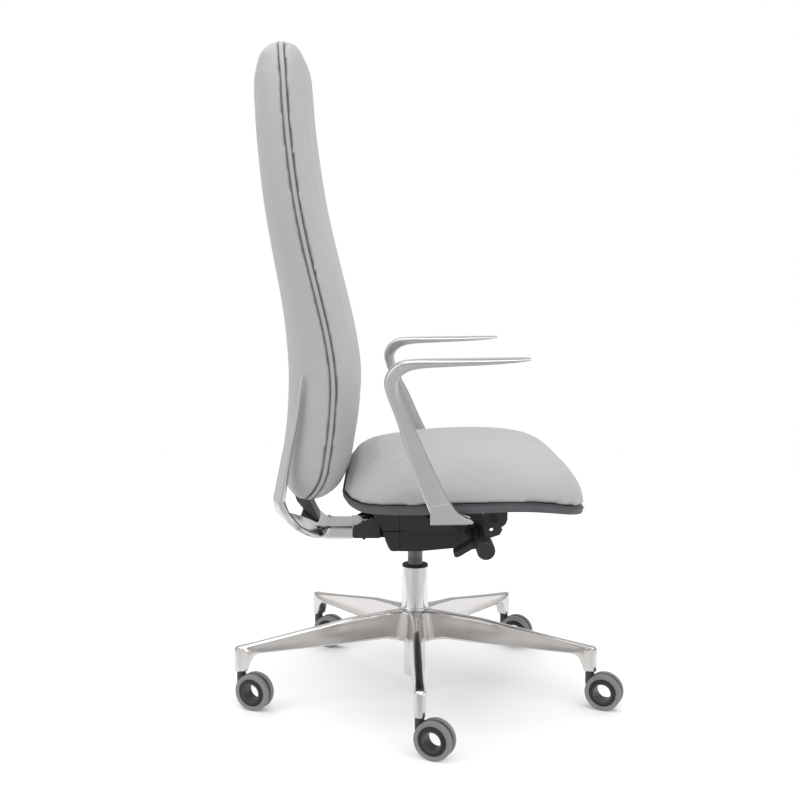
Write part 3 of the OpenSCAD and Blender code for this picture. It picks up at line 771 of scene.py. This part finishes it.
def edge_path(rows, offset_y):
    """Closed seam line round the back, from its bottom up one side and down the other."""
    half = [(BACK_HALF * r[4], r[2] + offset_y, r[0]) for r in rows]
    run = list(reversed(half))
    w = run[-1][0]
    over = [(w * math.cos(math.pi * k / 8), run[-1][1], run[-1][2] + 0.5 * math.sin(math.pi * k / 8))
            for k in range(1, 8)]
    other = [(-x, y, z) for x, y, z in half]
    w = other[-1][0]
    under = [(w * math.cos(math.pi * k / 12), other[-1][1], other[-1][2])
             for k in range(1, 12)]
    return run + over + other + under


def back_seams():
    rows = smooth(BACK, 5)
    for name, off in (("back_seam_front", -0.2), ("back_seam_rear", GUSSET + 0.2)):
        path = edge_path(rows, off)
        path.append(path[0])
        Piece().tube(path, 0.55, 8, ends=False).done(name, SEAM, "back")


def seat_cushion():
    n = 56
    rings = []
    for r in smooth(SEAT, 5):
        w = SEAT_HALF * r[2] - 1.5
        h = max(r[1] - 1.5, 0.6)
        y = -83.5 + (r[0] + 83.5) * 0.993
        base = seam_at(y) + 0.2
        run = [(w * math.cos(math.pi * i / n), y,
                base + h * crown(math.cos(math.pi * i / n), 5)) for i in range(n + 1)]
        run += [(w * (-1 + 2 * k / 14), y, base) for k in range(1, 14)]
        rings.append(run)

    def held(p):
        return max(0.0, min(1.0, (p.z - seam_at(p.y) - 3) / 14))

    obj = bag(rings)
    obj = stuffed(obj, "seat_cushion_pad", 6, 2.5, held)
    finish_pad(obj, SKIN, "seat", ["seat_cushion"])


def seat_edge_path(inset, lift):
    """The seat's seam from the front up one side, round the rear and down the other."""
    rows = smooth(SEAT, 5)[10:-4]
    right = [(SEAT_HALF * r[2] - inset, r[0], SEAM_Z + r[3] + lift) for r in rows]
    w = right[-1][0]
    rear = [(w * math.cos(math.pi * k / 16), right[-1][1], right[-1][2]) for k in range(1, 16)]
    return right + rear + [(-x, y, z) for x, y, z in reversed(right)]


def cupping(t):
    return max(0.0, 1 - abs(t) ** 4) ** 0.6


def seat_pan():
    n = 64
    rings = []
    for r in smooth(SEAT, 6)[12:-6]:
        w = SEAT_HALF * r[2] - 3 - 9 * max(0.0, -(r[0] + 200) / 90) ** 3
        top = SEAM_Z + r[3] - 0.25
        deep = cupping((r[0] + 80) / 210)
        rim = 2 + 14 * math.sqrt(deep)
        run = [(w - 1.2, r[0], top), (w - 0.3, r[0], top - min(0.4, rim / 5)),
               (w, r[0], top - min(1.4, rim / 3)),
               (w - 0.2, r[0], top - rim * 0.6), (w - 0.9, r[0], top - rim * 0.93)]
        for i in range(1, n):
            x = math.cos(math.pi * i / n)
            run.append(((w - 1.2) * x, r[0],
                        top - rim - (PAN_DEPTH + r[3] - rim) * (1 - x * x) ** 1.5 * deep))
        run += [(-x, y, z) for x, y, z in reversed(run[:5])]
        rings.append(run)
    Piece().loft(rings).done("seat_pan_shell", PAN, "seat", ["seat_pan"], sharp=50)
    # A dark tube along the join of cushion and pan: a painted shadow line.
    Piece().tube(seat_edge_path(1.6, -0.1), 0.8, 8).done("seat_seam_shadow_line", SEAT_SEAM_SHADOW, "seat")


# ---------------------------------------------------------------- arms and yoke

ARM = [[-174, 645.5, 3.5, 40], [-150, 643.5, 7, 50], [-100, 641, 10, 53], [-40, 639, 12, 52],
       [8, 636.5, 15, 47], [34, 629, 21, 38], [48, 610, 22, 28], [45, 587, 19.5, 21.5],
       [33, 557, 20, 18], [18, 522, 26, 17], [2, 480, 31, 17], [-17, 436, 35, 17],
       [-33, 401, 37, 17]]
ARM_FOOT = [(-14, 406), (-16, 398), (-16, 376.3), (-84, 378), (-85.5, 379), (-85.5, 382),
            (-81, 384.6), (-72, 388), (-60.5, 396), (-48, 411.8)]
ARM_X = 294.0
YOKE = [[45, 116, 307.5, 11.5, 4.5, 1, 0, 0], [45, 140, 307.5, 11.5, 4.5, 1, 0.05, 0],
        [47, 162, 308.5, 12, 4.5, 0.95, 0.3, 0], [62, 178, 315, 15, 5, 0.6, 0.8, 0],
        [92, 191, 326, 17, 5.5, 0.4, 0.9, -0.1], [130, 203, 340, 17.5, 6.5, 0.42, 0.88, -0.2],
        [168, 217, 355, 17, 7.5, 0.5, 0.8, -0.3], [190, 230, 373, 15, 7.5, 0.6, 0.75, -0.2],
        [199, 236, 394, 12, 7, 0.68, 0.72, -0.1], [202, 233, 415, 11, 6.5, 0.72, 0.68, 0],
        [205, 224, 466, 9.5, 5.5, 0.74, 0.66, 0], [208, 214, 512, 8.5, 4.5, 0.76, 0.64, 0],
        [210.5, 204, 562, 6.5, 3.3, 0.78, 0.62, 0], [212, 195, 610, 1.5, 1.5, 0.78, 0.62, 0]]


def bar_ring(c, d, side, a, b, power, n):
    v = d.cross(side)
    return [c + side * (a * spow(math.cos(2 * math.pi * i / n), power))
            + v * (b * spow(math.sin(2 * math.pi * i / n), power)) for i in range(n)]


def arm(sign):
    rows = smooth(ARM, 6)
    last = len(rows) - 1
    rings = []
    for i, r in enumerate(rows):
        a, b = rows[max(i - 1, 0)], rows[min(i + 1, last)]
        d = unit((0, b[0] - a[0], b[1] - a[1]))
        rings.append(bar_ring(Vector((ARM_X, r[0], r[1])), d, Vector((1, 0, 0)),
                              r[3] / 2, r[2] / 2, 0.48, 56))
    flip = Matrix.Diagonal((sign, 1, 1, 1))
    side = "left" if sign > 0 else "right"
    Piece().loft(rings, flip).done(f"arm_{side}_casting", ALU_ARM, "seat", [f"arm_{side}"],
                                   sharp=50)
    foot = ARM_FOOT[:1] + [(-15.4, 402)] + ARM_FOOT[1:2] \
        + [(-16, 390)] + ARM_FOOT[2:] + [(-31, 409.4)]
    Piece().slab(foot, ARM_X - 9, ARM_X + 9, flip) \
        .done(f"arm_{side}_foot", ALU_ARM, "seat", bevel=1.3, steps=3, angle=24)
    bar = [(ARM_X - 8, 398), (ARM_X - 14, 397), (ARM_X - 26, 391), (247, 379), (235, 373.5),
           (200, 364), (160, 353), (146, 351.6), (90, 351.6), (90, 344), (158, 344),
           (200, 355), (235, 365), (ARM_X - 20, 376), (ARM_X - 8, 380)]
    n = len(bar)
    # The outer end is narrower, so the foot hides it
    verts = [(x, -58 if x > 250 else -85.5, z) for x, z in bar] + [(x, -26, z) for x, z in bar]
    faces = [list(range(n)), list(range(2 * n - 1, n - 1, -1))]
    faces += [(i, i + n, (i + 1) % n + n, (i + 1) % n) for i in range(n)]
    Piece().add(verts, faces, flip) \
        .done(f"arm_{side}_root", ALU_ARM, "seat", bevel=1.2, steps=3, angle=24)


def yoke():
    rows = smooth(YOKE, 6)
    last = len(rows) - 1
    p = Piece()
    for sign in (1, -1):
        rings = []
        for i, q in enumerate(rows):
            a, b = rows[max(i - 1, 0)], rows[min(i + 1, last)]
            d = unit((b[0] - a[0], b[1] - a[1], b[2] - a[2]))
            out = Vector(q[5:8])
            thin = (out - d * d.dot(out)).normalized()
            rings.append(bar_ring(Vector(q[:3]), d, thin, q[4], q[3], 0.6, 32))
        p.loft(rings, Matrix.Diagonal((sign, 1, 1, 1)))
    p.done("back_yoke_casting", ALU_ARM, "back", ["back_yoke"], sharp=45)
    # Shelf between the walls
    line = [(113, 319), (150, 319), (166, 319), (182, 327), (207, 347)]
    under = [(210, 343), (186, 321), (168, 313), (150, 313), (113, 313)]
    half = lambda y: curve_at([(113, 44), (160, 44), (177, 62), (197, 112), (215, 112)], y)
    s = Piece()
    rings = []
    for (y, z), (yb, zb) in zip(line, reversed(under)):
        w, wb = half(y), half(yb)
        rings.append([(-w, y, z), (w, y, z), (wb, yb, zb), (-wb, yb, zb)])
    s.loft(rings)
    s.done("back_yoke_shelf", ALU_ARM, "back", bevel=1.2, steps=3)
    t = Piece()
    top = [(45, 120), (-45, 120), (-45, 108), (-30, 88), (30, 88), (45, 108)]
    n = len(top)
    t.add([(x, y, 318.2) for x, y in top] + [(x, y, 321.7) for x, y in top],
          [list(range(n - 1, -1, -1)), list(range(n, 2 * n))]
          + [(i, (i + 1) % n, (i + 1) % n + n, i + n) for i in range(n)])
    t.block((-44, 115, 297), (44, 124, 317))
    t.done("back_yoke_tongue", ALU_ARM, "back", bevel=0.8, steps=2)
    for k, x in enumerate((-22, 22)):
        put = Matrix.Translation((x, 95, 0))
        Piece().spin([(0, 321.8), (5.2, 321.8), (5.5, 322.2), (5.5, 324), (5.1, 324.5),
                      (4.4, 324.7), (2.6, 324.7), (2.5, 323.2), (0, 323.0)], put, 48,
                     closed=False) \
            .done(f"yoke_screw_{k + 1}", BOLT, "back", ["yoke_screws"] if k == 0 else (),
                  sharp=30)
        thread = [(0, 289.6), (2.5, 289.6)]
        for i in range(16):
            thread += [(2.95, 290.1 + 0.5 * i), (2.6, 290.35 + 0.5 * i)]
        Piece().spin(thread + [(2.95, 298.4), (2.95, 321.9), (0, 321.9)], put, 32,
                     closed=False).done(f"yoke_screw_{k + 1}_rod", BOLT, "back", sharp=30)
        Piece().spin([(0, 292.6), (4.9, 292.6), (4.9, 297.6), (0, 297.6)], put, 6,
                     closed=False).done(f"yoke_screw_{k + 1}_nut", BOLT, "back", bevel=0.4)
    bracket = [(177, 325.4), (182, 327.6), (203, 344.6), (218, 363), (227, 391), (222, 389),
               (214, 382.4), (205, 380.2), (191, 357.6)]
    Piece().slab(bracket, -32, 32).done("back_bracket_plate", BRACKET, "back",
                                        ["back_bracket"], bevel=1.2, steps=3)


# ---------------------------------------------------------------- mechanism

SHROUD_SIDE = [(48, 283), (31, 281), (-6, 281), (-69, 287), (-106, 297), (-118, 304),
               (-118, 311), (-84, 331), (-60, 331), (31, 318), (56, 316), (53, 300)]
SHROUD_INSIDE = [(60, 285), (31, 284), (-6, 284), (-69, 290), (-106, 300), (-130, 306),
                 (-130, 340), (60, 340)]
SHROUD_HALF, FRAME_HALF = 81.5, 78.2


def mechanism():
    body = Piece().slab(SHROUD_SIDE, -SHROUD_HALF, SHROUD_HALF)
    shroud = body.done("mech_shroud_cover", COVER, "mechanism", ["mech_shroud"])
    tools = [tool(Piece().slab(SHROUD_INSIDE, -FRAME_HALF - 0.3, FRAME_HALF + 0.3)),
             tool(Piece().spin([(0, 270), (20, 270), (20, 300), (0, 300)]))]
    cut(shroud, *tools)
    m = shroud.modifiers.new("Bevel", "BEVEL")
    m.width, m.segments, m.limit_method = 1.2 * MM, 3, "ANGLE"
    m.angle_limit = math.radians(25)
    shroud.modifiers.new("Split", "TRIANGULATE").min_vertices = 5
    shroud.modifiers.new("Weighted", "WEIGHTED_NORMAL")
    for s in (1, -1):
        side = "left" if s > 0 else "right"
        flip = Matrix.Diagonal((s, 1, 1, 1))
        Piece().slab([(31, 284), (34, 281.5), (44, 281.5), (48, 284), (51, 296), (56, 309),
                      (60, 317), (31, 317)], 81.8, 83.5, flip) \
            .done(f"rear_shroud_{side}", COVER, "mechanism",
                  ["rear_shrouds"] if s > 0 else (), bevel=0.7, steps=3)
        Piece().slab([(30.5, 351.6), (30.5, 320), (-75, 320), (-75, 330), (-80, 341),
                      (-118, 341.5), (-118, 351.6)], 81.8, 84.8, flip) \
            .done(f"carrier_skirt_{side}", COVER, "seat",
                  ["carrier_skirts"] if s > 0 else (), bevel=1.0, steps=3)
        Piece().slab([(30.8, 351.6), (30.8, 319.5), (60.5, 319.5), (66, 331), (74, 342),
                      (78, 348), (78, 351.6)], 84.0, 86, flip) \
            .done(f"carrier_rear_skirt_{side}", COVER, "seat", bevel=0.8, steps=3)
        turn = Matrix.Rotation(math.radians(90), 4, "Y")
        Piece().spin([(7, 81.3), (15.9, 81.3), (15.9, 83.1), (15.5, 83.7), (14.8, 84),
                      (8, 84), (7.2, 83.6), (7, 83)],
                     flip @ Matrix.Translation((0, -96, 317)) @ turn, 64) \
            .done(f"lever_boss_{side}", COVER, "mechanism", sharp=30)
        Piece().spin([(0, 85.1), (8, 85.1), (8, 86), (7.6, 86.4), (5.9, 86.5), (5.6, 86.2),
                      (5.4, 85.8), (0, 85.8)],
                     flip @ Matrix.Translation((0, -139, 341)) @ turn, 64, closed=False) \
            .done(f"pivot_cap_{side}", BLACK_STEEL, "seat", sharp=30)


def controls():
    place = Matrix.Translation((-250, -111.5, 321)) @ Matrix.Rotation(math.radians(90), 4, "Y")

    def rib(a, r, h):
        if r > 14.9 and 4 < h < 56:
            r -= 0.45 * (0.5 + 0.5 * math.cos(a * 24)) ** 2
        return r, h

    prof = [(0, 0.6), (4, 0.5), (8, 0.3), (11.6, 0.1), (12.6, 0.5), (13.2, 1.0), (14.4, 0.6),
            (15.2, 1.6), (15.7, 3.4)]
    prof += [(15.7, 6 + 7 * k) for k in range(8)]
    prof += [(15.2, 58), (14.2, 59.6), (12.4, 60.8), (9.9, 61.6), (9.5, 63), (9.5, 165),
             (6, 165), (6, 210), (0, 210)]
    Piece().spin(prof, place, steps=144, closed=False, wave=rib) \
        .done("tension_knob_grip", GRIP, "knob", ["tension_knob"], sharp=40, weld=0.001)
    outline = smooth([[-5, 3], [-1, 5.5], [4, 5], [16, -3], [30, -10], [34, -14], [34, -19],
                      [30, -21], [22, -18], [4, -7], [-2, -6], [-5.5, -2]], 2)[:-1]
    for s, node, body, tag in ((1, "height_lever", "lever_right", "height"),
                               (-1, "lock_lever", "lever_left", "lock")):
        place = (Matrix.Identity(4) if s > 0 else MIRROR) @ Matrix.Translation((0, -96, 316))
        Piece().slab(outline, -187, -150, place) \
            .done(f"{tag}_lever_paddle", GRIP, body, [node], bevel=1.4, steps=3)
        shaft = Matrix.Translation((-186, 0, 0)) @ Matrix.Rotation(math.radians(90), 4, "Y")
        Piece().spin([(0, 1), (5, 1), (5, 166), (0, 166)], place @ shaft, 48, closed=False) \
            .done(f"{tag}_lever_shaft", GRIP, body, weld=0.001)


# ---------------------------------------------------------------- materials on CAD nodes

CAD_LOOKS = {
    "castor_stems": STEEL, "thrust_bearing": STEEL, "bearing_washer": STEEL,
    "piston_rod": CHROME, "retaining_clip": SPRING, "bump_stop": RUBBER,
    "mech_housing": BLACK_STEEL, "tilt_shaft": STEEL, "seat_pivot": BLACK_STEEL,
    "tilt_springs": SPRING, "valve_pin": STEEL, "back_arm": BLACK_STEEL,
    "seat_carrier": BLACK_STEEL, "arm_screws": BOLT,
}


def dress_cad():
    for name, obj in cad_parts.items():
        mat = CAD_LOOKS.get(name, COVER)
        if not obj.material_slots:
            obj.data.materials.append(mat)
        for s in obj.material_slots:
            s.material = mat


# ---------------------------------------------------------------- stage

def area_light(name, where, target, size, power, colour=(1, 1, 1)):
    data = bpy.data.lights.new(name, "AREA")
    data.shape = "RECTANGLE"
    data.size, data.size_y = size
    data.energy = power
    data.color = colour
    obj = bpy.data.objects.new(name, data)
    bpy.context.scene.collection.objects.link(obj)
    obj.location = where
    obj.rotation_euler = (Vector(target) - Vector(where)).to_track_quat("-Z", "Y").to_euler()
    return obj


def stage():
    scene = bpy.context.scene
    scene.view_settings.view_transform = "Standard"
    bm = bmesh.new()
    bmesh.ops.create_circle(bm, cap_ends=True, segments=128, radius=1.9,
                             matrix=Matrix.Translation((1.25, 0, 0)))
    floor = linked(bm, "floor")
    k = Look("pale_floor").set(**{"Specular_IOR_Level": 0.1, "Emission_Color": (1, 1, 1, 1),
                                  "Emission_Strength": 0.16})
    cloud = k.noise(1.5, 2)
    k.colour(k.ramp(cloud, [(0.3, (0.90, 0.90, 0.90)), (0.7, (0.92, 0.92, 0.92))]))
    k.rough(k.span(cloud, 0.85, 0.95))
    edge = k.node("ShaderNodeVectorMath", Vector=k.coord)
    edge.operation = "DISTANCE"
    edge.inputs[1].default_value = (1.25, 0, 0)
    k.tree.links.new(k.span(edge.outputs["Value"], 1.0, 0.0, 1.45, 1.88), k.shader.inputs["Alpha"])
    floor.data.materials.append(k.mat)

    world = bpy.data.worlds.new("studio")
    scene.world = world
    world.use_nodes = True
    t = world.node_tree
    t.nodes.clear()
    out = t.nodes.new("ShaderNodeOutputWorld")
    mix = t.nodes.new("ShaderNodeMixShader")
    light = t.nodes.new("ShaderNodeBackground")
    plain = t.nodes.new("ShaderNodeBackground")
    path = t.nodes.new("ShaderNodeLightPath")
    geo = t.nodes.new("ShaderNodeTexCoord")
    split = t.nodes.new("ShaderNodeSeparateXYZ")
    ramp = t.nodes.new("ShaderNodeValToRGB")
    mapped = t.nodes.new("ShaderNodeMapRange")
    mapped.inputs["From Min"].default_value = -1
    t.links.new(geo.outputs["Generated"], split.inputs[0])
    t.links.new(split.outputs["Z"], mapped.inputs["Value"])
    t.links.new(mapped.outputs[0], ramp.inputs["Fac"])
    el = ramp.color_ramp.elements
    el[0].position, el[0].color = 0.0, (0.50, 0.49, 0.48, 1)
    el[1].position, el[1].color = 1.0, (1.6, 1.6, 1.61, 1)
    for pos, col in ((0.42, (0.80, 0.79, 0.78, 1)), (0.50, (0.78, 0.77, 0.76, 1)),
                     (0.55, (0.66, 0.655, 0.65, 1)), (0.63, (0.46, 0.455, 0.45, 1)),
                     (0.75, (0.50, 0.50, 0.50, 1)), (0.85, (0.80, 0.80, 0.81, 1)),
                     (0.93, (1.15, 1.15, 1.16, 1))):
        e = el.new(pos)
        e.color = col
    t.links.new(ramp.outputs["Color"], light.inputs["Color"])
    patch = t.nodes.new("ShaderNodeMapRange")
    patch.interpolation_type = "SMOOTHSTEP"
    for key, value in (("From Min", -1), ("From Max", -0.72), ("To Min", 0.84), ("To Max", 1.06)):
        patch.inputs[key].default_value = value
    t.links.new(split.outputs["X"], patch.inputs["Value"])
    t.links.new(patch.outputs[0], light.inputs["Strength"])
    plain.inputs["Color"].default_value = (1, 1, 1, 1)
    plain.inputs["Strength"].default_value = 1.0
    t.links.new(path.outputs["Is Camera Ray"], mix.inputs[0])
    t.links.new(light.outputs[0], mix.inputs[1])
    t.links.new(plain.outputs[0], mix.inputs[2])
    t.links.new(mix.outputs[0], out.inputs[0])

    area_light("key", (-1.7, -0.9, 2.4), (0, 0, 0.6), (2.2, 2.2), 24)
    area_light("fill", (-1.0, 2.2, 1.9), (0, 0.1, 0.6), (1.6, 2.0), 13)
    area_light("rim", (1.8, 0.6, 2.4), (0, 0, 0.6), (1.6, 1.6), 9)

    data = bpy.data.cameras.new("camera")
    cam = bpy.data.objects.new("camera", data)
    scene.collection.objects.link(cam)
    data.sensor_width = 36.0
    data.lens = LENS
    data.clip_end = 100
    fwd = Vector((math.cos(YAW) * math.cos(PITCH), math.sin(YAW) * math.cos(PITCH),
                  -math.sin(PITCH)))
    right = fwd.cross(Vector((0, 0, 1))).normalized()
    up = right.cross(fwd)
    right, up = (right * math.cos(ROLL) + up * math.sin(ROLL),
                 up * math.cos(ROLL) - right * math.sin(ROLL))
    rot = Matrix((right, up, -fwd)).transposed()
    cam.matrix_world = Matrix.Translation(EYE) @ rot.to_4x4()
    scene.camera = cam


stage()
dress_cad()
base_star()
column()
for index in range(LEGS):
    castor(index)
seat_cushion()
seat_pan()
back_pads()
back_seams()
arm(1)
arm(-1)
yoke()
mechanism()
controls()
